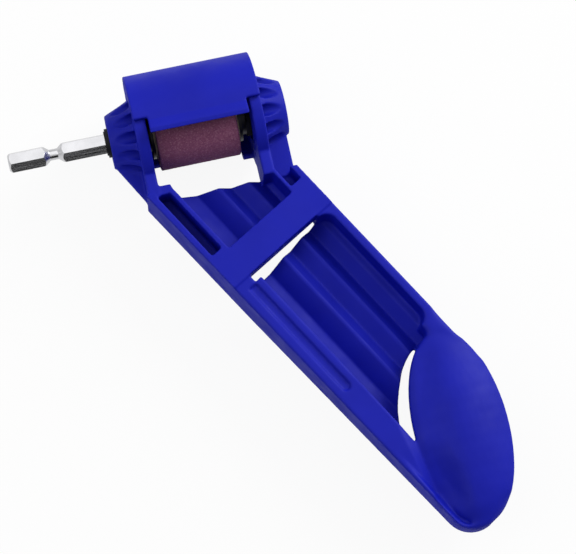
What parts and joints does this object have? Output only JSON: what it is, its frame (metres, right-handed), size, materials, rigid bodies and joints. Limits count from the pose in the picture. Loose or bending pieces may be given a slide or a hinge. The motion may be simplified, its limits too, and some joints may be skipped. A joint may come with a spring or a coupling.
{
  "type": "drill bit sharpener",
  "caption": "Hand-held drill bit sharpener: a corundum wheel in a guarded drum, spun by a hex shank, on a grooved handle with a guide bar and a thumb pad.",
  "frame": {"origin": "on the arbor axis, at the outer face of the drive hub", "axes": "-X along the hex shank out of the drive side, +Y away from the handle, +Z out of the front, the side with the trough and the finger lip"},
  "size_m": [0.1441, 0.1769, 0.0416],
  "materials": {
    "blue_plastic": "satin moulded plastic",
    "plated_steel": "bright plated",
    "bearing_steel": "ground",
    "cage_steel": "pressed",
    "black_steel": "black oxide",
    "black_rubber": "moulded",
    "corundum": "fine abrasive grain",
    "blotter_card": "matt"
  },
  "bodies": {
    "housing": {"body": "blue_plastic", "drive_outer_race": "bearing_steel", "far_outer_race": "bearing_steel"},
    "spindle": {"arbor": "plated_steel", "shank_collar": "black_rubber", "grinding_wheel": "corundum", "drive_inner_race": "bearing_steel", "far_inner_race": "bearing_steel", "bearing_clip": "black_steel", "wheel_clip": "black_steel", "inner_flange": "black_steel", "inner_blotter": "blotter_card", "outer_blotter": "blotter_card", "outer_flange": "black_steel", "lock_washer": "black_steel", "clamp_nut": "black_steel", "end_washer": "plated_steel", "end_screw": "plated_steel"},
    "drive_ball_set": {"drive_balls": "bearing_steel", "drive_cage": "cage_steel"},
    "far_ball_set": {"far_balls": "bearing_steel", "far_cage": "cage_steel"},
    "guard": {"wheel_cover": "blue_plastic"}
  },
  "joints": [
    {"name": "arbor_spin", "type": "hinge", "parent": "housing", "child": "spindle", "pos_m": [0, 0, 0], "axis": [1, 0, 0], "continuous": true},
    {"name": "drive_cage_spin", "type": "hinge", "parent": "housing", "child": "drive_ball_set", "pos_m": [0.0011, 0, 0], "axis": [1, 0, 0], "continuous": true},
    {"name": "far_cage_spin", "type": "hinge", "parent": "housing", "child": "far_ball_set", "pos_m": [0.055, 0, 0], "axis": [1, 0, 0], "continuous": true},
    {"name": "cover_lift", "type": "slide", "parent": "housing", "child": "guard", "axis": [0, 0.7071, 0.7071], "range_m": [0, 0.03]}
  ],
  "couplings": [
    {"joint": "drive_cage_spin", "follows": "arbor_spin", "ratio": 0.4042},
    {"joint": "far_cage_spin", "follows": "arbor_spin", "ratio": 0.4042}
  ]
}
